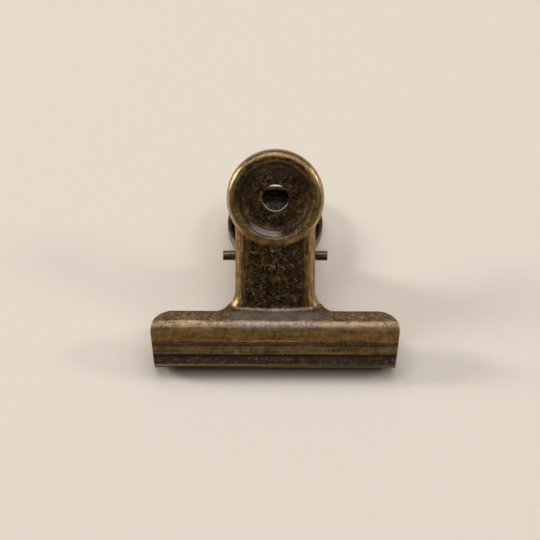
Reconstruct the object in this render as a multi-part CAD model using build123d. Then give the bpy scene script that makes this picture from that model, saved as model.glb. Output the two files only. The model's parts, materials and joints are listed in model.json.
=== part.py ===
from build123d import *
import os
from math import asin, atan2, cos, degrees, hypot, pi, radians, sin, sqrt, tan

# Bulldog clip with round finger cups, in millimetres.
# It is built about its pin: X along the pin, Y toward the finger cups, Z out of the front.
# It is then laid on its back, with the origin under the middle of its box.

# Sheet and fits
sheet = 0.8
pin_clearance = 0.03
ear_clearance = 0.06
lip_half_gap = 0.03

# Gripping jaw, measured from the pin
jaw_width = 50.5
mouth_taper = 0.77
mouth_reach = 23.3
lip_angle = 47.0
lip_length = 2.35
middle_angle = 35.0
middle_length = 2.7
face_angle = 24.0
face_length = 4.3
facet_bend = 2.2
shoulder_radius = 1.8
wing_corner_radius = 4.9
wing_edge_back = 0.15
groove_radius = 0.55
groove_depth = 0.2

# Handle, measured from the crease between jaw and handle
crease_reach = 12.35
crease_rise = 2.85
crease_radius = 0.9
handle_angle = 24.0
neck_width = 16.25
neck_crown_radius = 46.0
fold_radius = 2.4
flare_radius = 3.9
cup_blend_radius = 3.0
flange_depth = 2.75
foot_depth = 2.6

# Finger cup
cup_reach = 22.9
cup_radius = 9.9
rim_rise = 0.5
rim_outer_radius = 1.25
rim_inner_radius = 1.2
dish_depth = 2.2
dish_wall_angle = 24.0
dish_floor_radius = 6.7
dish_bend = 1.4
hanging_hole_radius = 2.7

# Ears and pin
ear_radius = 3.3
ear_base_low = 4.0
ear_base_high = 15.6
ear_blend_radius = 1.6
pin_radius = 1.0
pin_wall = 0.45
pin_seam = 0.24
pin_seam_turn = 12.0
pin_length = 21.4

# Torsion spring
wire_diameter = 1.4
coil_mean_radius = 3.1
coil_turns = 5
coil_pitch = 1.96
leg_set = 12.0
leg_bend_radius = 3.0
foot_length = 7.0
foot_clearance = 0.05

# Allowances that only make the cuts pass through
past = 4.0
deep = 16.0
wing_reach = 6.0
foot_margin = 1.0
edge_margin = 0.1
# How far below the crease the neck's folds are still rounded
fold_run = 1.6
# Points closer than this are the same point
same_place = 1e-4
# How finely the spring's gap is measured, and how much of the wire next to a point is left out
gap_samples = 900
near_diameters = 2.5

os.makedirs("parts", exist_ok=True)

handle_cos = cos(radians(handle_angle))
handle_sin = sin(radians(handle_angle))

# The handle frame: its X runs across the clip, its Y up the handle, its Z out of the panel.
handle = Plane(
    origin=(0, -crease_reach, crease_rise),
    x_dir=(1, 0, 0),
    z_dir=(0, -handle_sin, handle_cos),
)
# The same frame seen from the side: X up the handle, Y out of the panel.
handle_side = Plane(
    origin=(0, -crease_reach, crease_rise),
    x_dir=(0, handle_cos, handle_sin),
    z_dir=(1, 0, 0),
)
# The pin as it lies in the handle frame
pin_up = crease_reach * handle_cos - crease_rise * handle_sin
pin_out = -crease_reach * handle_sin - crease_rise * handle_cos


def step(point, angle, length):
    """The point reached from another at an angle in degrees."""
    return (
        point[0] + length * cos(radians(angle)),
        point[1] + length * sin(radians(angle)),
    )


def crossing(first, first_angle, second, second_angle):
    """Where two lines cross, each given by a point and an angle."""
    ax, ay = cos(radians(first_angle)), sin(radians(first_angle))
    bx, by = cos(radians(second_angle)), sin(radians(second_angle))
    dx, dy = second[0] - first[0], second[1] - first[1]
    along = (dx * by - dy * bx) / (ax * by - ay * bx)
    return (first[0] + along * ax, first[1] + along * ay)


def inset_path(points, distance):
    """A path moved to its right-hand side, corner by corner."""
    angles = []
    for start, end in zip(points, points[1:]):
        angles.append(degrees(atan2(end[1] - start[1], end[0] - start[0])))
    moved = [step(points[0], angles[0] - 90, distance)]
    for index in range(1, len(points) - 1):
        before = step(points[index], angles[index - 1] - 90, distance)
        after = step(points[index], angles[index] - 90, distance)
        moved.append(crossing(before, angles[index - 1], after, angles[index]))
    moved.append(step(points[-1], angles[-1] - 90, distance))
    return moved


# Side view of the jaw, outer surface, from the mouth to the crease
lip_thickness = sheet / cos(radians(lip_angle))
lip_corner = (-mouth_reach, lip_half_gap + lip_thickness)
low_bend = step(lip_corner, lip_angle, lip_length)
high_bend = step(low_bend, middle_angle, middle_length)
shoulder = step(high_bend, face_angle, face_length)
crease = (-crease_reach, crease_rise)
roof_angle = degrees(atan2(crease[1] - shoulder[1], crease[0] - shoulder[0]))
# The roof frame: its Y runs down the roof from the crease, its Z out of the roof.
roof_plane = Plane(
    origin=(0, -crease_reach, crease_rise),
    x_dir=(1, 0, 0),
    z_dir=(0, -sin(radians(roof_angle)), cos(radians(roof_angle))),
)


def jaw_form(inset):
    """The jaw as a solid bar, its surface moved in by the inset."""
    outer = [
        step(lip_corner, lip_angle + 180, past),
        low_bend,
        high_bend,
        shoulder,
        step(crease, roof_angle, deep),
    ]
    path = inset_path(outer, inset)
    bends = [facet_bend - inset, facet_bend - inset, shoulder_radius - inset]
    line = FilletPolyline(*path, radius=bends)
    line += Polyline(path[-1], step(path[-1], roof_angle - 90, 2 * deep), path[0])
    bar = extrude(Plane.YZ * make_face(line), amount=jaw_width / 2 + inset, both=True)
    if inset == 0:
        ahead = Pos(0, -mouth_reach - deep, 0) * Box(2 * jaw_width, 2 * deep, 4 * deep)
        bar -= ahead
    return bar


def handle_outline(half_neck, inset):
    """The handle seen square on: flared foot, neck and round cup."""
    wing_line = -wing_edge_back * cos(radians(handle_angle - roof_angle)) - inset
    foot_half = half_neck + flare_radius + foot_margin
    neck = Pos(0, cup_reach / 2 - past) * Rectangle(2 * (half_neck - inset), cup_reach + 2 * past)
    foot = Pos(0, wing_line - past) * Rectangle(2 * foot_half, 2 * past)
    cup = Pos(0, cup_reach) * Circle(cup_radius - inset)
    outline = neck + foot + cup

    def on_neck(vertex):
        return abs(abs(vertex.X) - half_neck + inset) < same_place

    neck_corners = outline.vertices().filter_by(on_neck)
    flare_corners = neck_corners.filter_by(lambda v: abs(v.Y - wing_line) < same_place)
    outline = fillet(flare_corners, flare_radius + inset)
    neck_corners = outline.vertices().filter_by(on_neck)
    cup_corners = neck_corners.filter_by(lambda v: v.Y > cup_reach / 2)
    return fillet(cup_corners, cup_blend_radius + inset)


def neck_form(half_neck, inset):
    """The handle as a solid block with a crowned panel and rounded folds."""
    block = handle * extrude(handle_outline(half_neck, inset), amount=-deep)
    crown = neck_crown_radius - inset
    barrel = handle * Pos(0, 0, -neck_crown_radius) * Rot(-90, 0, 0) * Cylinder(crown, 6 * deep)
    block &= barrel
    panel = block.faces().filter_by(GeomType.CYLINDER).sort_by(lambda f: abs(f.radius - crown))[0]
    folds = []
    for edge in panel.edges():
        local = handle.to_local_coords(edge.center())
        if local.Y > -fold_run - inset:
            folds.append(edge)
    block = fillet(folds, fold_radius - inset)
    middle = handle * Pos(0, cup_reach, 0) * Cylinder(cup_radius - rim_outer_radius, 4 * deep)
    return block - middle


def cup_form(inset):
    """The finger cup as a solid of revolution: dish, rolled rim and flank."""
    floor = rim_rise - dish_depth
    wall_foot = (dish_floor_radius, floor)
    wall_head = crossing(wall_foot, 90 - dish_wall_angle, (0, rim_rise), 0)
    outer = [
        (0, floor),
        wall_foot,
        wall_head,
        (cup_radius, rim_rise),
        (cup_radius, -deep),
    ]
    path = inset_path(outer, inset)
    bends = [dish_bend + inset, rim_inner_radius - inset, rim_outer_radius - inset]
    line = FilletPolyline(*path, radius=bends)
    line += Polyline(path[-1], (0, -deep), path[0])
    section = Plane.XZ * make_face(line)
    return handle * Pos(0, cup_reach, 0) * revolve(section, axis=Axis.Z)


def pressing_form(half_neck, inset):
    """Jaw, neck and cup joined into one solid form, its creases rounded."""
    form = jaw_form(inset) + neck_form(half_neck, inset)
    bends = []
    for edge in form.edges():
        middle = roof_plane.to_local_coords(edge.center())
        start = roof_plane.to_local_coords(edge @ 0)
        end = roof_plane.to_local_coords(edge @ 1)
        flush = max(abs(middle.Z + inset), abs(start.Z + inset), abs(end.Z + inset)) < same_place
        if flush and abs(middle.X) < half_neck + flare_radius and -past < middle.Y < deep - foot_margin:
            bends.append(edge)
    return fillet(bends, crease_radius + inset) + cup_form(inset)


def groove_bars(radius):
    """Round bars lying in the two pressed grooves, across the whole jaw."""
    bars = []
    bend_angles = [(lip_angle + middle_angle) / 2, (middle_angle + face_angle) / 2]
    for bend, angle in zip([low_bend, high_bend], bend_angles):
        center = step(bend, angle + 90, groove_radius - groove_depth)
        bars.append(extrude(Plane.YZ * Pos(*center) * Circle(radius), amount=jaw_width, both=True))
    return bars


def flange_cut():
    """Everything below the turned-in edge, except the two ears."""
    below = Pos(cup_reach / 2, -flange_depth - deep) * Rectangle(6 * deep, 2 * deep)
    slope_start = foot_depth / tan(radians(handle_angle - roof_angle))
    below += make_face(
        Polyline(
            (slope_start - past, -foot_depth),
            (slope_start, -foot_depth),
            (ear_base_low, -flange_depth),
            (ear_base_low, -flange_depth - past),
            (slope_start - past, -flange_depth - past),
            (slope_start - past, -foot_depth),
        )
    )
    lobe = Pos(pin_up, pin_out) * Circle(ear_radius)
    base = Line((ear_base_low, -flange_depth), (ear_base_high, -flange_depth))
    below -= make_hull(lobe.edges() + base.edges())
    corners = below.vertices().filter_by(
        lambda v: abs(v.Y + flange_depth) < same_place and abs(v.X - pin_up) < pin_up - ear_base_low + foot_margin
    )
    below = fillet(corners, ear_blend_radius)
    return extrude(handle_side * below, amount=jaw_width, both=True)


def wing_cut(half_neck):
    """Everything past the wings' free edge, outside the flared neck."""
    beyond = roof_plane * Pos(0, deep - wing_edge_back, 0) * Box(2 * jaw_width, 2 * deep, 2 * wing_reach)
    column = handle * Pos(0, 0, past) * extrude(handle_outline(half_neck, 0), amount=-2 * deep)
    kept = section(column, section_by=roof_plane)
    return beyond - extrude(kept, amount=2 * wing_reach, dir=roof_plane.z_dir, both=True)


def end_cut():
    """What lies outside the tapered, round-cornered ends of the jaw."""
    edge_y = -crease_reach - wing_edge_back * cos(radians(roof_angle)) + edge_margin
    corner_y = edge_y - wing_corner_radius
    taper = mouth_taper / (mouth_reach + corner_y)
    widest = jaw_width / 2 + taper * wing_corner_radius
    mouth_y = -mouth_reach - past
    mouth_half = widest + taper * (mouth_y - edge_y)
    outline = make_face(
        Polyline(
            (-mouth_half, mouth_y),
            (mouth_half, mouth_y),
            (widest, edge_y),
            (-widest, edge_y),
            (-mouth_half, mouth_y),
        )
    )
    corners = outline.vertices().filter_by(lambda v: abs(v.Y - edge_y) < same_place)
    outline = fillet(corners, wing_corner_radius)
    around = Pos(0, (mouth_y + edge_y) / 2) * Rectangle(2 * jaw_width, edge_y - mouth_y)
    return extrude(around - outline, amount=2 * deep, both=True)


def pressing(half_neck):
    """One sheet-metal half of the clip, in the front position."""
    outer = pressing_form(half_neck, 0)
    for bar in groove_bars(groove_radius):
        outer -= bar
    inner = pressing_form(half_neck, sheet)
    for bar in groove_bars(groove_radius + sheet):
        inner -= bar
    half = outer - inner
    half -= wing_cut(half_neck)
    half -= flange_cut()
    half -= end_cut()
    half -= handle * Pos(0, cup_reach, 0) * Cylinder(hanging_hole_radius, 2 * deep)
    half -= Rot(0, 90, 0) * Cylinder(pin_radius + pin_clearance, 2 * jaw_width)
    return half.solid()


def rolled_pin():
    """A strip rolled into a tube, its seam turned to the front."""
    ring = Circle(pin_radius) - Circle(pin_radius - pin_wall)
    ring -= Rot(0, 0, pin_seam_turn) * Pos(0, pin_radius) * Rectangle(pin_seam, 2 * pin_radius)
    return extrude(Plane.YZ * ring, amount=pin_length / 2, both=True).solid()


def biarc(start, start_way, end, end_way):
    """Two arcs that join two points and keep both directions."""
    chord = end - start
    total = start_way + end_way
    spread = 2 * (1 - start_way.dot(end_way))
    reach = (-chord.dot(total) + sqrt(chord.dot(total) ** 2 + spread * chord.dot(chord))) / spread
    joint = (start + start_way * reach + end - end_way * reach) * 0.5
    first = Edge.make_tangent_arc(start, start_way, joint)
    second = Edge.make_tangent_arc(joint, first % 1, end)
    return [first, second]


def spring_path():
    """The wire's middle line: foot, leg, coil, leg, foot."""
    leg_angle = handle_angle + leg_set
    foot_out = rim_rise - dish_depth - sheet - foot_clearance - wire_diameter / 2 - pin_out
    leave = step((0, 0), leg_angle + 90, coil_mean_radius)
    foot_line = step((0, 0), handle_angle + 90, foot_out)
    bend = crossing(leave, leg_angle, foot_line, handle_angle)
    tip = step(bend, handle_angle, foot_length)
    turned = 360 * coil_turns + 360 - 2 * (leg_angle + 90)
    side = coil_pitch * turned / 360 / 2

    edges = []
    leg = FilletPolyline(tip, bend, leave, radius=leg_bend_radius)
    front_leg = Plane.YZ.offset(side) * leg
    rear_leg = Plane.YZ.offset(-side) * mirror(leg, Plane.XZ)
    edges += rear_leg.edges()
    quarters = round(turned / 90)
    points = []
    ways = []
    for index in range(quarters + 1):
        angle = radians(270 - leg_angle - turned * index / quarters)
        x = -side + 2 * side * index / quarters
        points.append(Vector(x, coil_mean_radius * cos(angle), coil_mean_radius * sin(angle)))
        climb = coil_pitch / (2 * pi)
        if index in (0, quarters):
            climb = 0
        way = Vector(climb, coil_mean_radius * sin(angle), -coil_mean_radius * cos(angle))
        ways.append(way.normalized())
    for index in range(quarters):
        edges += biarc(points[index], ways[index], points[index + 1], ways[index + 1])
    edges += front_leg.edges()
    return Wire(edges)


def least_gap(path):
    """The wire's least gap to itself, measured on points along it."""
    points = [path @ (index / gap_samples) for index in range(gap_samples + 1)]
    near = round(near_diameters * wire_diameter * gap_samples / path.length)
    apart = []
    for index, point in enumerate(points):
        for other in points[index + near:]:
            apart.append((other - point).length)
    return min(apart) - wire_diameter


def torsion_spring():
    """The wound wire, one unbroken tube."""
    path = spring_path()
    print("spring: least gap to itself", round(least_gap(path), 3), "mm")
    section = Plane(path @ 0, z_dir=path % 0) * Circle(wire_diameter / 2)
    return sweep(section, path=path).solid()


# How the clip lies: on the rear shoulder and the far side of the rear rim
shoulder_center = inset_path([high_bend, shoulder, crease], shoulder_radius)[1]
rim_up = cup_reach + cup_radius - rim_outer_radius
rim_out = rim_rise - rim_outer_radius
rim_center = step(step(crease, handle_angle, rim_up), handle_angle + 90, rim_out)
span_y = rim_center[0] - shoulder_center[0]
span_z = rim_center[1] - shoulder_center[1]
span = hypot(span_y, span_z)
lean = degrees(atan2(span_z, span_y) - asin((shoulder_radius - rim_outer_radius) / span))
pin_height = (
    shoulder_center[1] * cos(radians(lean))
    - shoulder_center[0] * sin(radians(lean))
    + shoulder_radius
)

half_neck = neck_width / 2
lay = Pos(0, 0, pin_height) * Rot(lean, 0, 0)
nodes = {
    "front_jaw": lay * pressing(half_neck),
    "rear_jaw": lay * Rot(0, 180, 0) * pressing(half_neck - sheet - ear_clearance),
    "pivot_pin": lay * rolled_pin(),
    "torsion_spring": lay * torsion_spring(),
}
boxes = [solid.bounding_box() for solid in nodes.values()]
back_y = max(box.max.Y for box in boxes)
mouth_y = min(box.min.Y for box in boxes)
middle_y = (back_y + mouth_y) / 2
place = Pos(0, -middle_y, 0)
for name, solid in nodes.items():
    export_step(place * solid, "parts/" + name + ".step")

# Where things are once the clip is laid down
full = place * lay
hole_floor = rim_rise - dish_depth - sheet / 2
front_hole = full * handle.location * Location((0, cup_reach, hole_floor))
rear_hole = full * Location((0, 0, 0), (0, 180, 0)) * handle.location * Location((0, cup_reach, hole_floor))
print("lean", lean, "pin height", pin_height, "pin y", -middle_y)
print("lowest", min(box.min.Z for box in boxes), "length", back_y - mouth_y)
for name, spot in (("front hole", front_hole), ("rear hole", rear_hole)):
    print(name, spot.position, Plane(spot).z_dir)
for name, solid in nodes.items():
    print(name, "volume", round(solid.volume, 3), "valid", solid.is_valid)
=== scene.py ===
import bpy
import json
from math import ceil, cos, pi, radians, sin, tan
from types import SimpleNamespace
from mathutils import Matrix, Quaternion, Vector


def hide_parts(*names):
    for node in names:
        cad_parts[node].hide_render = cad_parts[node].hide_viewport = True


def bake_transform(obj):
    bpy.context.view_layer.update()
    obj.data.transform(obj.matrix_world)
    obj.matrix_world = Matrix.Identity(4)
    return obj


# A bulldog clip lying on its back, in metres unless a comment says millimetres.
# X runs along the pin, Y from the mouth to the finger cups, Z up.

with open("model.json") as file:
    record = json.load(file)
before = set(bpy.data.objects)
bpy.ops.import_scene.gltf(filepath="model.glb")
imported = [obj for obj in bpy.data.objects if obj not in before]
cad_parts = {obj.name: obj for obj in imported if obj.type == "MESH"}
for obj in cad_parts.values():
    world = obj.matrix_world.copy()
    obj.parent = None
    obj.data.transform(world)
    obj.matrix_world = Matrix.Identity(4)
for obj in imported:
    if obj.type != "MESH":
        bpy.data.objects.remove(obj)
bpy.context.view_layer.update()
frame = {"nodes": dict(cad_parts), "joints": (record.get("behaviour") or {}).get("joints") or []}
nodes = frame["nodes"]
joint = frame["joints"][0]

mm = 0.001
millimetres_per_metre = 1000

# How the clip lies, and the sizes that the looks follow, in degrees and millimetres
lean = 17.55097798
pin = Vector(joint["pos_m"])
crease_reach = 12.35
crease_rise = 2.85
handle_angle = 24.0
cup_reach = 22.9
cup_radius = 9.9
hole_radius = 2.7
sheet = 0.8
rim_rise = 0.5
dish_depth = 2.2

# The spring, in degrees and millimetres
wire_diameter = 1.4
wire_sides = 24
coil_mean_radius = 3.1
coil_turns = 5
coil_pitch = 1.96
leg_set = 12.0
leg_bend_radius = 3.0
foot_length = 7.0
foot_clearance = 0.05

# Where the zones of a pressing lie, in millimetres: on the jaw along the clip from the pin,
# on the neck out from the middle line, and on the cup out from its middle
roof_start = (-15.4, -14.4)
shoulder_span = (-16.9, -15.0)
face_span = (-19.2, -16.4)
upper_groove = (-20.0, -19.5)
middle_facet_span = (-21.4, -19.9)
lower_groove = (-21.98, -21.40)
lip_start = (-21.5, -21.8)
mouth_start = (-23.1, -23.2)
fold_start = (4.2, 7.0)
wall_span = (5.75, 7.9)
# The pale arc of painted reflection on the dish's lower wall lies between these radii
crescent_span = (6.88, 7.58)
rim_start = (7.7, 8.9)

# Sets of fine scratches: angle in degrees, length and width in millimetres
scratch_sets = ((8, 1.5, 0.12), (41, 1.1, 0.11), (83, 1.4, 0.12), (118, 1.1, 0.11), (152, 1.5, 0.12))

# Axes of the clip as it lies: up its length, and out of its front
along = Vector((0, cos(radians(lean)), sin(radians(lean))))
outward = Vector((0, -sin(radians(lean)), cos(radians(lean))))


def clip_point(x, s, d):
    """A point given about the pin in millimetres, as it lies."""
    return pin + Vector((x * mm, 0, 0)) + along * (s * mm) + outward * (d * mm)


# Camera: it looks down on the clip, placed in millimetres and degrees about the pin

view_tilt = 14.45
view_distance = 630.0
view_right = -1.06
view_roll = 0.18
view_up = -2.99
focal_pixels = 3070.0
frame_pixels = 540.0
sensor = 36.0

tilt = radians(lean + view_tilt)
back = Vector((0, -sin(tilt), cos(tilt)))
above = Vector((0, cos(tilt), sin(tilt)))
camera_data = bpy.data.cameras.new("camera")
camera = bpy.data.objects.new("camera", camera_data)
bpy.context.scene.collection.objects.link(camera)
camera_data.sensor_width = sensor
camera_data.lens = focal_pixels / frame_pixels * sensor
camera_data.clip_start = 0.01
camera_data.clip_end = 20
view_middle = pin + Vector((view_right * mm, 0, 0)) + above * (view_up * mm)
camera.location = view_middle + back * (view_distance * mm)
level_view = (-back).to_track_quat("-Z", "Y")
camera.rotation_mode = "QUATERNION"
camera.rotation_quaternion = level_view @ Quaternion((0, 0, 1), radians(view_roll))
bpy.context.scene.camera = camera


# Materials

def colour(red, green, blue):
    return (red, green, blue, 1.0)


class NodeTree:
    """A node tree, with short ways to add its nodes."""

    def __init__(self, tree):
        self.tree = tree
        self.tree.nodes.clear()

    def plug(self, socket, value):
        if isinstance(value, bpy.types.NodeSocket):
            self.tree.links.new(value, socket)
        else:
            socket.default_value = value

    def add(self, kind, inputs=None, **settings):
        node = self.tree.nodes.new(kind)
        for key, value in settings.items():
            setattr(node, key, value)
        for key, value in (inputs or {}).items():
            self.plug(node.inputs[key], value)
        return node

    def math(self, operation, first, second=0.0, clamp=False):
        node = self.add("ShaderNodeMath", {0: first, 1: second}, operation=operation, use_clamp=clamp)
        return node.outputs[0]

    def total(self, *values):
        result = values[0]
        for value in values[1:]:
            result = self.math("ADD", result, value)
        return result

    def times(self, *values):
        result = values[0]
        for value in values[1:]:
            result = self.math("MULTIPLY", result, value)
        return result

    def rest_of(self, value):
        """What a share leaves of 1."""
        return self.math("SUBTRACT", 1.0, value)

    def swing(self, value, *shares):
        """How far a value is from its middle of 0.5, times some shares."""
        return self.times(self.math("SUBTRACT", value, 0.5), *shares)

    def rise(self, value, low, high):
        """0 below low and 1 above high, or the other way round if low is the larger."""
        node = self.add(
            "ShaderNodeMapRange",
            {"Value": value, "From Min": low, "From Max": high},
            interpolation_type="SMOOTHSTEP",
        )
        return node.outputs["Result"]

    def band(self, value, low, high, soft):
        """1 between low and high, with soft sides."""
        over_low = self.rise(value, low - soft, low + soft)
        under_high = self.rise(value, high + soft, high - soft)
        return self.times(over_low, under_high)

    def spread(self, value, low, high):
        """The value stretched so that low to high fills 0 to 1."""
        node = self.add("ShaderNodeMapRange", {"Value": value, "From Min": low, "From Max": high})
        return node.outputs["Result"]

    def noise(self, vector, scale, detail=2.0, roughness=0.5, distortion=0.0):
        shape = {"Scale": scale, "Detail": detail, "Roughness": roughness, "Distortion": distortion}
        return self.add("ShaderNodeTexNoise", {"Vector": vector, **shape}).outputs["Fac"]

    def blend(self, share, first, second):
        """A colour between two others."""
        node = self.add("ShaderNodeMix", data_type="RGBA", clamp_factor=True)
        self.plug(node.inputs[0], share)
        self.plug(node.inputs[6], first)
        self.plug(node.inputs[7], second)
        return node.outputs[2]

    def layered(self, base, *layers):
        """Tones laid over a base one after another, each given as its share and its colour."""
        for share, tone in layers:
            base = self.blend(share, base, tone)
        return base

    def level(self, share, first, second):
        """A number between two others."""
        node = self.add("ShaderNodeMix", data_type="FLOAT", clamp_factor=True)
        self.plug(node.inputs[0], share)
        self.plug(node.inputs[2], first)
        self.plug(node.inputs[3], second)
        return node.outputs[0]

    def ramp(self, value, tones):
        """Colours one after another along a value."""
        node = self.add("ShaderNodeValToRGB", {"Fac": value})
        stops = node.color_ramp.elements
        stops[0].position, stops[0].color = tones[0]
        stops[1].position, stops[1].color = tones[-1]
        for place, tone in tones[1:-1]:
            stops.new(place).color = tone
        return node.outputs["Color"]

    def mapped(self, vector, scale=(1, 1, 1), turn=(0, 0, 0), move=(0, 0, 0)):
        change = {"Scale": scale, "Rotation": turn, "Location": move}
        return self.add("ShaderNodeMapping", {"Vector": vector, **change}).outputs[0]

    def parts_of(self, vector):
        node = self.add("ShaderNodeSeparateXYZ", {0: vector})
        return node.outputs[0], node.outputs[1], node.outputs[2]


class Paint(NodeTree):
    """A material of one principled shader."""

    def __init__(self, name):
        self.material = bpy.data.materials.new(name)
        self.material.use_nodes = True
        super().__init__(self.material.node_tree)

    def finish(self, inputs):
        shader = self.add("ShaderNodeBsdfPrincipled", inputs)
        self.add("ShaderNodeOutputMaterial", {"Surface": shader.outputs[0]})
        return self.material

    def soft_edges(self, radius, samples, height, strength, distance):
        """The surface's facing, with rounded edges and a fine relief."""
        edge = self.add("ShaderNodeBevel", {"Radius": radius}, samples=samples)
        relief = {"Strength": strength, "Distance": distance, "Height": height}
        return self.add("ShaderNodeBump", {**relief, "Normal": edge.outputs[0]}).outputs[0]

    def clip_frame(self, flip):
        """Millimetres about the pin, and the way the surface faces: across, up the clip, out of the front.

        The rear half is turned to match the front.
        """
        lean_turn = (-radians(lean), 0, 0)
        start = Matrix.Rotation(-radians(lean), 3, "X") @ (pin * -millimetres_per_metre)
        place = self.add("ShaderNodeTexCoord").outputs["Object"]
        placed = self.mapped(place, (millimetres_per_metre,) * 3, lean_turn, tuple(start))
        way = self.add("ShaderNodeNewGeometry").outputs["Normal"]
        into_piece = {"vector_type": "NORMAL", "convert_from": "WORLD", "convert_to": "OBJECT"}
        way = self.add("ShaderNodeVectorTransform", {0: way}, **into_piece).outputs[0]
        facing = self.mapped(way, turn=lean_turn)
        if flip:
            turned_over = (-1, 1, -1)
            placed = self.mapped(placed, turned_over)
            facing = self.mapped(facing, turned_over)
        return placed, facing

    def streaks(self, vector, angle, length, width, more):
        """Short fine scratches that run at an angle, denser where more is higher."""
        # Each set starts elsewhere in the noise, by an offset that grows with its angle
        offset = (angle * 0.37, angle * 0.11, angle * 0.23)
        turned = self.mapped(vector, turn=(0, 0, radians(angle)), move=offset)
        drawn = self.mapped(turned, scale=(1 / length, 1 / width, 2.5 / length))
        return self.rise(self.math("ADD", self.noise(drawn, 1.0, 1.0, 0.4, 0.2), more), 0.67, 0.74)


def zones_of(paint, flip):
    """Where a point of a pressing lies, and its share in each zone, from 0 to 1."""
    zone = SimpleNamespace()
    zone.placed, facing = paint.clip_frame(flip)
    x, s, d = paint.parts_of(zone.placed)
    facing_x, _, facing_out = paint.parts_of(facing)
    wide = paint.math("ABSOLUTE", x)

    # The handle frame: up the handle from the crease, and out of its panel
    handle_turn = (-radians(handle_angle), 0, 0)
    from_crease = paint.mapped(zone.placed, move=(0, crease_reach, -crease_rise))
    zone.handle_place = paint.mapped(from_crease, turn=handle_turn)
    _, up, _ = paint.parts_of(zone.handle_place)
    _, _, facing_panel = paint.parts_of(paint.mapped(facing, turn=handle_turn))
    from_cup = paint.math("SUBTRACT", up, cup_reach)
    ring = paint.math("SQRT", paint.total(paint.times(x, x), paint.times(from_cup, from_cup)))
    zone.x, zone.wide, zone.from_cup, zone.ring = x, wide, from_cup, ring

    # The jaw, from the crease to the mouth
    on_jaw = paint.rise(up, 0.1, -0.5)
    zone.on_jaw = on_jaw
    zone.by_neck = paint.rise(wide, 11.0, 6.8)
    zone.crease = paint.times(paint.band(up, -0.7, 0.4, 0.25), paint.rise(wide, 8.4, 7.2))
    zone.roof = paint.times(on_jaw, paint.rise(s, *roof_start))
    # Painted shade on the roof in the hollows beside the neck's flares
    zone.foot = paint.times(zone.roof, paint.band(wide, 8.2, 11.0, 1.2), paint.rise(s, -14.6, -13.4))
    zone.shoulder = paint.band(s, *shoulder_span, 0.8)
    zone.grainy = paint.math("MAXIMUM", zone.roof, zone.shoulder)
    zone.face = paint.band(s, *face_span, 0.3)
    zone.middle_facet = paint.band(s, *middle_facet_span, 0.2)
    upper = paint.band(s, *upper_groove, 0.26)
    lower = paint.band(s, *lower_groove, 0.22)
    zone.grooves = paint.math("MAXIMUM", upper, lower)
    zone.lip = paint.rise(s, *lip_start)
    zone.mouth_edge = paint.rise(s, *mouth_start)

    # The neck and the cup
    in_cup = paint.rise(ring, cup_radius + 0.1, cup_radius - 0.4)
    zone.in_cup = in_cup
    zone.off_cup = paint.rest_of(in_cup)
    zone.fold = paint.times(paint.rise(wide, *fold_start), paint.rise(up, 0.2, 1.4))
    zone.rim = paint.rise(ring, *rim_start)
    zone.low_rim = paint.rise(from_cup, -5.0, -7.5)
    zone.wall = paint.times(in_cup, paint.band(ring, *wall_span, 0.3))
    zone.dish_top = paint.times(in_cup, paint.rise(from_cup, 1.5, 4.5))
    zone.dish_left = paint.times(in_cup, paint.rise(x, -2.0, -6.0))
    zone.hole_edge = paint.rise(ring, hole_radius + 0.12, hole_radius + 0.02)
    # The pale arc on the lower left of the dish's wall, where a reflection is painted
    low_left = paint.times(paint.rise(from_cup, -4.0, -5.0), paint.band(x, -4.7, 0.8, 1.3))
    zone.crescent = paint.times(paint.band(ring, *crescent_span, 0.15), low_left)
    neck_or_rim = paint.level(in_cup, paint.rise(wide, *fold_start), zone.rim)
    zone.worn_fold = paint.level(on_jaw, neck_or_rim, 0.0)

    # The sides of the sheet, and how far it turns to the side
    side_turn = paint.math("ABSOLUTE", facing_x)
    zone.flank = paint.rise(side_turn, 0.55, 0.92)
    # Painted highlights: pale bands along the turned sides of the neck's folds, and on the rim's outer edge
    # away from its bottom
    zone.fold_edge = paint.times(zone.worn_fold, zone.off_cup, paint.band(side_turn, 0.45, 0.80, 0.15))
    zone.rim_edge = paint.times(in_cup, paint.rise(ring, 9.0, 9.6), paint.rise(from_cup, -5.0, -3.0))
    ear_place = paint.times(paint.rise(wide, 6.4, 7.2), paint.rise(d, 8.0, 6.0))
    outer_side = paint.times(paint.math("SIGN", x), facing_x, ear_place)
    turned_out = paint.level(on_jaw, paint.total(facing_panel, outer_side), facing_out)
    zone.inside = paint.rise(turned_out, -0.05, -0.25)
    zone.outside = paint.rest_of(zone.inside)
    return zone


def patina_of(paint, zone):
    """Clouds, a soft mottle, grain, brush lines on the jaw and drawn lines on the folds."""
    patina = SimpleNamespace()
    patina.cloud = paint.spread(paint.noise(zone.placed, 0.28, 3.0, 0.55, 0.3), 0.3, 0.7)
    patina.mottle = paint.spread(paint.noise(zone.placed, 1.0, 3.0, 0.55, 0.4), 0.34, 0.66)
    patina.grain = paint.spread(paint.noise(zone.placed, 2.8, 2.0, 0.6), 0.36, 0.64)
    brush_lines = paint.mapped(zone.placed, (0.10, 1.7, 1.7))
    brushed = paint.spread(paint.noise(brush_lines, 1.0, 4.0, 0.6), 0.34, 0.66)
    drawn_lines = paint.mapped(zone.handle_place, (2.0, 0.20, 2.0))
    patina.drawn = paint.spread(paint.noise(drawn_lines, 1.0, 3.0, 0.6), 0.34, 0.66)
    grain_share = paint.level(zone.grainy, paint.level(zone.worn_fold, 0.08, 0.26), 0.55)
    drawn_share = paint.level(zone.flank, 0.65, 0.10)
    patina.uneven = paint.total(
        paint.swing(patina.cloud, 0.34),
        paint.swing(patina.mottle, 0.24),
        paint.swing(patina.grain, grain_share),
        paint.swing(brushed, 0.70, zone.on_jaw),
        paint.swing(patina.drawn, drawn_share, zone.worn_fold, zone.off_cup),
    )
    return patina


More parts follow.
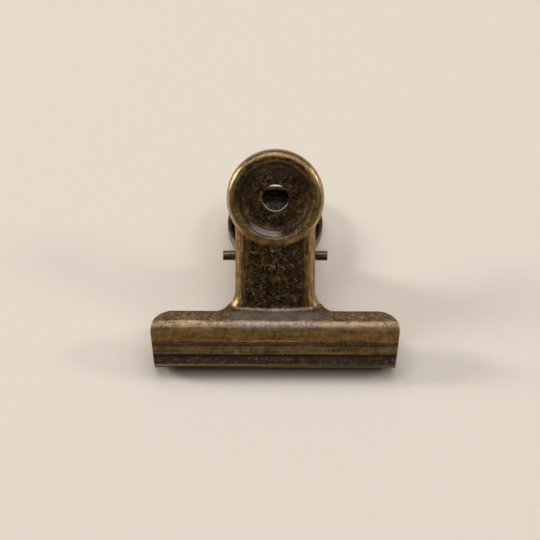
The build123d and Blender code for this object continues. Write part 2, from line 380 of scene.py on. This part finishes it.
def rubbed(paint, zone, uneven):
    """How far the brass is rubbed free of the oxide, from 0 to 1; on the rim it is held back at the top and
    bottom and along the lower edge as painted shade.
    """
    jaw_rub = paint.total(
        0.20,
        paint.times(zone.shoulder, 0.36),
        paint.times(zone.face, 0.60),
        paint.times(zone.middle_facet, 0.42),
        paint.times(zone.roof, paint.level(zone.by_neck, -0.24, -0.36)),
        paint.times(zone.mouth_edge, 0.6),
        paint.times(zone.grooves, -0.60),
    )
    neck_rub = paint.level(zone.fold, 0.05, paint.level(zone.flank, 0.54, 0.40))
    # The rim is rubbed less at its top and along its bottom, which dims the lamps' reflections there:
    # painted shade over the rim's wear
    rim_wear_and_shade = paint.level(paint.rise(zone.from_cup, 3.0, 8.0), 1.00, 0.30)
    rim_wear_and_shade = paint.level(zone.low_rim, rim_wear_and_shade, 0.42)
    # Painted shadow: the brass is held back along the bottom edge of the rim
    painted_shadow_under_rim = paint.rise(zone.from_cup, -8.7, -9.5)
    cup_rub = paint.total(0.04, paint.times(zone.rim, rim_wear_and_shade), paint.times(painted_shadow_under_rim, -0.45))
    rub = paint.level(zone.on_jaw, paint.level(zone.in_cup, neck_rub, cup_rub), jaw_rub)
    return paint.times(paint.rise(paint.math("ADD", rub, uneven), 0.02, 0.98), zone.outside)


def marks_of(paint, zone):
    """Thin scratches in all directions, curled hairlines, and pits."""
    plain = paint.total(
        paint.times(zone.worn_fold, 0.2),
        zone.grooves,
        paint.times(zone.inside, 0.6),
        paint.times(zone.wall, 0.55),
        paint.times(zone.face, 0.4),
        paint.times(zone.lip, 0.35),
    )
    marked = paint.math("SUBTRACT", 1.0, plain, clamp=True)
    patches = paint.rise(paint.noise(zone.placed, 0.5, 3.0, 0.6), 0.36, 0.64)
    more = paint.total(
        paint.level(patches, -0.015, 0.015),
        paint.times(zone.grainy, 0.046),
        paint.times(zone.middle_facet, 0.035),
        paint.times(zone.lip, -0.012),
    )
    flecks = 0.0
    for angle, length, width in scratch_sets:
        flecks = paint.math("MAXIMUM", flecks, paint.streaks(zone.placed, angle, length, width, more))
    bend = paint.math("ABSOLUTE", paint.math("SUBTRACT", paint.noise(zone.placed, 0.8, 1.0, 0.5, 0.4), 0.5))
    hair_patches = paint.rise(paint.noise(zone.placed, 0.6, 1.0, 0.5), 0.54, 0.62)
    pit_places = paint.rise(paint.noise(zone.placed, 2.6, 2.0, 0.5), 0.34, 0.26)
    return SimpleNamespace(
        flecks=paint.times(flecks, marked),
        hairs=paint.times(paint.rise(bend, 0.026, 0.006), hair_patches, marked),
        pits=paint.times(pit_places, paint.level(zone.grainy, 0.25, 0.7), marked),
    )


def oxide_colour(paint, zone):
    """Black-brown oxide, redder in the top of the dish, with painted light: near black inside, partly
    painted shade; painted shade on the dish's wall, beside the flares and in the crease at the neck's foot;
    and painted bluish reflections on the roof by the neck and on the dish's lower wall.
    """
    mixed = paint.ramp(
        paint.noise(zone.placed, 0.5, 3.0, 0.6, 0.6),
        (
            (0.34, colour(0.115, 0.070, 0.060)),
            (0.45, colour(0.126, 0.070, 0.034)),
            (0.55, colour(0.120, 0.074, 0.034)),
            (0.66, colour(0.170, 0.064, 0.026)),
        ),
    )
    # Near black on the inner faces, lighter toward the dish's middle and the rim's edge: partly the unworn
    # oxide, partly painted shade between the two halves
    inside_oxide_and_shade = paint.layered(
        colour(0.010, 0.008, 0.007),
        (paint.rise(zone.ring, 6.4, 6.0), colour(0.016, 0.013, 0.010)),
        (paint.rise(zone.ring, 9.2, 9.9), colour(0.075, 0.056, 0.040)),
    )
    # Painted shade over the oxide of the dish's wall: darkest low in the dish, lighter toward its sides and
    # top, which also dulls the reflections in its bends
    painted_wall_shade = paint.layered(
        colour(0.022, 0.015, 0.011),
        (paint.rise(zone.wide, 3.5, 7.0), colour(0.052, 0.029, 0.013)),
        (paint.rise(zone.from_cup, 3.0, 6.0), colour(0.100, 0.068, 0.044)),
    )
    # Painted reflections: a bluish-grey sheen on the roof by the neck and a pale arc on the dish's lower
    # wall
    painted_reflection = paint.math("MAXIMUM", zone.crescent, paint.times(zone.roof, zone.by_neck, 0.58))
    painted_reflection_tone = paint.blend(zone.crescent, colour(0.335, 0.350, 0.430), colour(0.64, 0.64, 0.65))
    return paint.layered(
        mixed,
        (paint.times(zone.dish_top, 0.7), colour(0.165, 0.072, 0.034)),
        (paint.times(zone.dish_left, 0.5), colour(0.060, 0.038, 0.022)),
        (paint.times(zone.wall, 0.9), painted_wall_shade),
        (paint.times(zone.roof, 0.6), colour(0.060, 0.034, 0.017)),
        # Painted shade beside the neck's flares
        (paint.times(zone.foot, 0.7), colour(0.050, 0.036, 0.026)),
        (zone.inside, inside_oxide_and_shade),
        (zone.hole_edge, colour(0.20, 0.175, 0.145)),
        (paint.times(zone.lip, zone.outside), colour(0.047, 0.029, 0.024)),
        (zone.grooves, colour(0.042, 0.028, 0.017)),
        # Painted shade: the crease at the neck's foot is painted dark grey, which dims the lamps'
        # reflection in it
        (paint.times(zone.crease, zone.by_neck, 0.85), colour(0.085, 0.078, 0.080)),
        (painted_reflection, painted_reflection_tone),
    )


def brass_colour(paint, zone, hue, bright):
    """Rubbed brass: amber to gold, brown on the lip, greyed on the shoulder by the neck as a painted
    reflection, with painted highlights paler on the sides of the folds and the rim's outer edge and gold on
    the rim's right.
    """
    warm = paint.rise(hue, 0.36, 0.64)
    # The shoulder's brass, greyed by the neck as a painted reflection
    shoulder_brass_and_reflection = paint.blend(zone.by_neck, colour(0.37, 0.275, 0.195), colour(0.28, 0.250, 0.245))
    # The rim's brass: olive and darker toward its top, which dims the lamps' reflection there, and brighter
    # gold on its right as a painted highlight
    rim_brass_and_highlight = paint.layered(
        colour(0.54, 0.350, 0.120),
        (paint.rise(zone.from_cup, 3.0, 7.0), colour(0.36, 0.270, 0.120)),
        (paint.rise(zone.x, 5.0, 8.5), colour(0.68, 0.450, 0.165)),
    )
    to_right = paint.rise(zone.x, -8.0, 16.0)
    mouth_tone = paint.blend(to_right, colour(0.22, 0.165, 0.095), colour(0.06, 0.043, 0.024))
    most_worn = paint.times(zone.worn_fold, paint.rise(bright, 0.75, 1.0), 0.6)
    return paint.layered(
        paint.blend(warm, colour(0.45, 0.215, 0.058), colour(0.50, 0.320, 0.098)),
        (paint.times(zone.shoulder, 0.85), shoulder_brass_and_reflection),
        (paint.times(zone.in_cup, zone.rim, 0.7), rim_brass_and_highlight),
        (paint.times(zone.lip, 0.9), colour(0.060, 0.036, 0.026)),
        (paint.times(zone.middle_facet, 0.5), colour(0.26, 0.185, 0.115)),
        (zone.mouth_edge, mouth_tone),
        (most_worn, colour(0.48, 0.345, 0.160)),
        # Painted highlights on the sides of the folds and the rim's outer edge
        (paint.times(zone.fold_edge, 0.45), colour(0.52, 0.400, 0.225)),
        (paint.times(zone.rim_edge, 0.45), colour(0.42, 0.340, 0.235)),
    )


def fleck_colour(paint, zone, hue):
    """Scratches from steel grey over olive and gold to copper, paler on the roof and shoulder, and grey
    there by the neck as a painted reflection.
    """
    mixed = paint.ramp(
        hue,
        (
            (0.34, colour(0.36, 0.31, 0.32)),
            (0.44, colour(0.40, 0.31, 0.13)),
            (0.55, colour(0.48, 0.32, 0.10)),
            (0.66, colour(0.42, 0.19, 0.09)),
        ),
    )
    # Paler flecks on the roof and shoulder, grey by the neck as a painted reflection
    grain_tone_and_reflection = paint.blend(zone.by_neck, colour(0.56, 0.400, 0.235), colour(0.46, 0.405, 0.365))
    return paint.blend(paint.times(zone.grainy, 0.75), mixed, grain_tone_and_reflection)


def sheet_roughness(paint, zone, patina, marks):
    """Satin on the jaw, glossier on the neck and dish, duller in grooves, inside and on the dish's wall."""
    satin = paint.times(zone.on_jaw, paint.rest_of(paint.times(zone.roof, 0.6)))
    worn_rough = paint.level(zone.in_cup, 0.37, paint.level(zone.low_rim, 0.34, 0.60))
    handle_rough = paint.level(zone.worn_fold, 0.29, worn_rough)
    rough = paint.level(satin, handle_rough, paint.level(zone.shoulder, 0.44, 0.55))
    rough = paint.math("ADD", rough, paint.swing(patina.mottle, 0.06))
    rough = paint.level(paint.math("MAXIMUM", marks.flecks, marks.hairs), rough, 0.52)
    rough = paint.level(paint.math("MAXIMUM", zone.grooves, zone.inside), rough, 0.50)
    return paint.level(zone.wall, rough, paint.level(zone.crescent, 0.62, 0.38))


def brass_sheet(name, flip):
    """Antique brass: dark oxide in the hollows and on the flats, rubbed brass on folds, rims and edges,
    with painted shade, highlights and reflections laid over them.
    """
    paint = Paint(name)
    zone = zones_of(paint, flip)
    patina = patina_of(paint, zone)
    bright = rubbed(paint, zone, patina.uneven)
    marks = marks_of(paint, zone)
    hue = paint.noise(zone.placed, 1.1, 2.0, 0.6, 0.5)
    surface = paint.layered(
        oxide_colour(paint, zone),
        (bright, brass_colour(paint, zone, hue, bright)),
        (paint.times(marks.flecks, 0.80), fleck_colour(paint, zone, hue)),
        (paint.times(marks.hairs, 0.7), colour(0.42, 0.36, 0.25)),
        (marks.pits, colour(0.05, 0.036, 0.026)),
    )
    shade = paint.total(0.78, paint.times(patina.mottle, 0.24), paint.times(patina.cloud, 0.20))
    fold_shade = paint.total(0.8, paint.times(patina.mottle, 0.2), paint.times(patina.drawn, 0.2))
    shade = paint.level(zone.worn_fold, shade, fold_shade)
    shaded = paint.add("ShaderNodeVectorMath", {0: surface, "Scale": shade}, operation="SCALE")
    grain_height = paint.level(zone.grainy, paint.level(zone.worn_fold, 0.20, 0.06), 0.9)
    height = paint.total(
        paint.times(patina.grain, grain_height),
        paint.times(patina.mottle, 0.2),
        paint.times(marks.flecks, 0.5),
        paint.times(marks.pits, -0.6),
    )
    return paint.finish(
        {
            "Base Color": shaded.outputs[0],
            "Metallic": 1.0,
            "Roughness": sheet_roughness(paint, zone, patina, marks),
            "Normal": paint.soft_edges(0.0003, 8, height, 0.4, 0.00004),
        }
    )


def plain_metal(name, dark, light, rough, line_scale):
    """Drawn or rolled metal: a mottled tone, with fine lines stretched by a scale for each axis."""
    paint = Paint(name)
    placed, _ = paint.clip_frame(False)
    mottle = paint.noise(placed, 1.6, 4.0, 0.6, 0.3)
    lines = paint.noise(paint.mapped(placed, line_scale), 1.0, 3.0, 0.6)
    tone = paint.rise(paint.math("ADD", paint.times(mottle, 0.6), paint.times(lines, 0.4)), 0.35, 0.65)
    return paint.finish(
        {
            "Base Color": paint.blend(tone, dark, light),
            "Metallic": 1.0,
            "Roughness": paint.level(tone, rough + 0.08, rough),
            "Normal": paint.soft_edges(0.00012, 6, lines, 0.3, 0.00003),
        }
    )


def dress(node, material):
    node.data.materials.clear()
    node.data.materials.append(material)


dress(nodes["front_jaw"], brass_sheet("antique_brass_front", False))
dress(nodes["rear_jaw"], brass_sheet("antique_brass_rear", True))
pin_dark = colour(0.085, 0.064, 0.046)
pin_light = colour(0.24, 0.185, 0.130)
dress(nodes["pivot_pin"], plain_metal("dark_rolled_brass", pin_dark, pin_light, 0.38, (0.3, 4.0, 4.0)))


# Torsion spring

def step(point, angle, length):
    """A flat point moved by a length at an angle."""
    return (point[0] + length * cos(radians(angle)), point[1] + length * sin(radians(angle)))


def spring_line():
    """The wire's middle line as it lies: foot, leg, coil, leg, foot."""
    leg_angle = handle_angle + leg_set
    pin_out = -crease_reach * sin(radians(handle_angle)) - crease_rise * cos(radians(handle_angle))
    foot_out = rim_rise - dish_depth - sheet - foot_clearance - wire_diameter / 2 - pin_out
    leave = step((0, 0), leg_angle + 90, coil_mean_radius)
    foot_line = step((0, 0), handle_angle + 90, foot_out)
    a = radians(leg_angle)
    b = radians(handle_angle)
    dx = foot_line[0] - leave[0]
    dy = foot_line[1] - leave[1]
    reach = (dx * sin(b) - dy * cos(b)) / (cos(a) * sin(b) - sin(a) * cos(b))
    turned = 360 * coil_turns + 360 - 2 * (leg_angle + 90)
    side = coil_pitch * turned / 360 / 2

    # One leg in its own plane, from the coil out to the tip, with a rounded bend
    cut = leg_bend_radius * tan(radians(leg_set) / 2)
    bend = step(leave, leg_angle, reach)
    leg = []
    straight = 8
    for index in range(straight):
        leg.append(step(leave, leg_angle, (reach - cut) * index / straight))
    arc_start = step(leave, leg_angle, reach - cut)
    arc_center = step(arc_start, leg_angle - 90, leg_bend_radius)
    arc_steps = 6
    for index in range(arc_steps):
        leg.append(step(arc_center, leg_angle + 90 - leg_set * index / arc_steps, leg_bend_radius))
    for index in range(straight + 1):
        leg.append(step(bend, handle_angle, cut + (foot_length - cut) * index / straight))

    # The coil joins the two legs, which mirror each other
    points = [(-side, y, -z) for y, z in reversed(leg)]
    per_turn = 40
    count = ceil(turned / 360 * per_turn)
    for index in range(1, count):
        angle = radians(270 - leg_angle - turned * index / count)
        x = -side + 2 * side * index / count
        points.append((x, coil_mean_radius * cos(angle), coil_mean_radius * sin(angle)))
    points += [(side, y, z) for y, z in leg]
    return [clip_point(*p) for p in points]


def wire_mesh(name, line, radius, sides):
    """A round wire along a line, with slightly rounded cut ends."""
    ways = []
    for index in range(len(line)):
        before = line[max(index - 1, 0)]
        after = line[min(index + 1, len(line) - 1)]
        ways.append((after - before).normalized())
    across = ways[0].orthogonal().normalized()
    verts = []
    rings = []

    def ring(center, way, side, size):
        other = way.cross(side)
        start = len(verts)
        for index in range(sides):
            angle = 2 * pi * index / sides
            verts.append(center + (side * cos(angle) + other * sin(angle)) * size)
        rings.append(start)

    # Each end has three rings: how far in from the cut and how much smaller, as shares of the rounding
    rounding = radius * 0.22
    end_rings = ((0, 1), (0.3, 0.3), (1, 0))
    for inward, smaller in end_rings:
        ring(line[0] + ways[0] * rounding * inward, ways[0], across, radius - rounding * smaller)
    for index in range(1, len(line) - 1):
        across = (across - ways[index] * across.dot(ways[index])).normalized()
        ring(line[index], ways[index], across, radius)
    across = (across - ways[-1] * across.dot(ways[-1])).normalized()
    for inward, smaller in reversed(end_rings):
        ring(line[-1] - ways[-1] * rounding * inward, ways[-1], across, radius - rounding * smaller)
    faces = []
    for start, following in zip(rings, rings[1:]):
        for index in range(sides):
            after = (index + 1) % sides
            faces.append((start + index, start + after, following + after, following + index))
    faces.append(tuple(reversed(range(rings[0], rings[0] + sides))))
    faces.append(tuple(range(rings[-1], rings[-1] + sides)))
    mesh = bpy.data.meshes.new(name)
    mesh.from_pydata([tuple(v) for v in verts], [], faces)
    mesh.polygons.foreach_set("use_smooth", [len(p.vertices) == 4 for p in mesh.polygons])
    mesh.validate()
    piece = bpy.data.objects.new(name, mesh)
    bpy.context.scene.collection.objects.link(piece)
    return piece


spring = wire_mesh("spring_wire", spring_line(), wire_diameter / 2 * mm, wire_sides)
wire_dark = colour(0.16, 0.155, 0.15)
wire_light = colour(0.36, 0.35, 0.335)
dress(spring, plain_metal("spring_steel", wire_dark, wire_light, 0.30, (2.0, 2.0, 2.0)))
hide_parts("torsion_spring")
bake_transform(spring)


# Floor

floor_size = 3.0
half = floor_size / 2
floor_mesh = bpy.data.meshes.new("floor")
floor_mesh.from_pydata(
    [(-half, -half, 0), (half, -half, 0), (half, half, 0), (-half, half, 0)], [], [(0, 1, 2, 3)]
)
floor = bpy.data.objects.new("floor", floor_mesh)
bpy.context.scene.collection.objects.link(floor)


def pale_paper():
    """Matt paper with a faint fibre."""
    paint = Paint("pale_paper")
    ground = paint.add("ShaderNodeTexCoord").outputs["Object"]
    tone = paint.rise(paint.noise(ground, 900.0, 3.0, 0.6), 0.2, 0.8)
    return paint.finish(
        {
            "Base Color": paint.blend(tone, colour(0.725, 0.662, 0.580), colour(0.740, 0.677, 0.595)),
            "Roughness": 0.9,
            "Specular IOR Level": 0.2,
        }
    )


floor_mesh.materials.append(pale_paper())


# Light

def lamp(name, place, target, width, height, radiance, tint):
    """A soft rectangular lamp of a given brightness per unit of its face."""
    data = bpy.data.lights.new(name, "AREA")
    data.shape = "RECTANGLE"
    data.size = width
    data.size_y = height
    data.energy = radiance * width * height * pi
    data.color = tint
    lamp_object = bpy.data.objects.new(name, data)
    lamp_object.location = place
    lamp_object.rotation_mode = "QUATERNION"
    lamp_object.rotation_quaternion = (Vector(target) - Vector(place)).to_track_quat("-Z", "Y")
    bpy.context.scene.collection.objects.link(lamp_object)


centre = (0, 0, 0.01)
lamp("overhead", (0.20, 0.32, 2.2), centre, 3.0, 2.4, 1.83, (1.0, 1.0, 1.0))
lamp("key", (-0.60, 0.20, 1.96), centre, 0.36, 0.36, 6.0, (0.98, 0.98, 1.0))
lamp("low_left", (-1.78, 0.36, 0.84), centre, 0.30, 0.62, 36.0, (1.0, 0.96, 0.92))
lamp("low_right", (1.62, 0.10, 1.00), centre, 0.34, 0.34, 19.0, (1.0, 0.97, 0.94))

# The room is dim: darkest part of the way up on the mouth's side, and lightest low down beyond the cups
dark_height = radians(36)
dark_way = Vector((0, -cos(dark_height), sin(dark_height)))
world = bpy.data.worlds.new("studio")
bpy.context.scene.world = world
world.use_nodes = True
sky = NodeTree(world.node_tree)
sky_way = sky.add("ShaderNodeTexCoord").outputs["Generated"]
sky_dot = sky.add("ShaderNodeVectorMath", {0: sky_way, 1: dark_way}, operation="DOT_PRODUCT")
toward_dark = sky_dot.outputs["Value"]
dark_share = sky.rise(toward_dark, -0.6, 0.7)
sky_tone = sky.blend(dark_share, colour(0.40, 0.335, 0.265), colour(0.040, 0.033, 0.026))
sky_light = sky.add("ShaderNodeBackground", {"Color": sky_tone})
sky.add("ShaderNodeOutputWorld", {"Surface": sky_light.outputs[0]})

bpy.context.scene.view_settings.view_transform = "Standard"
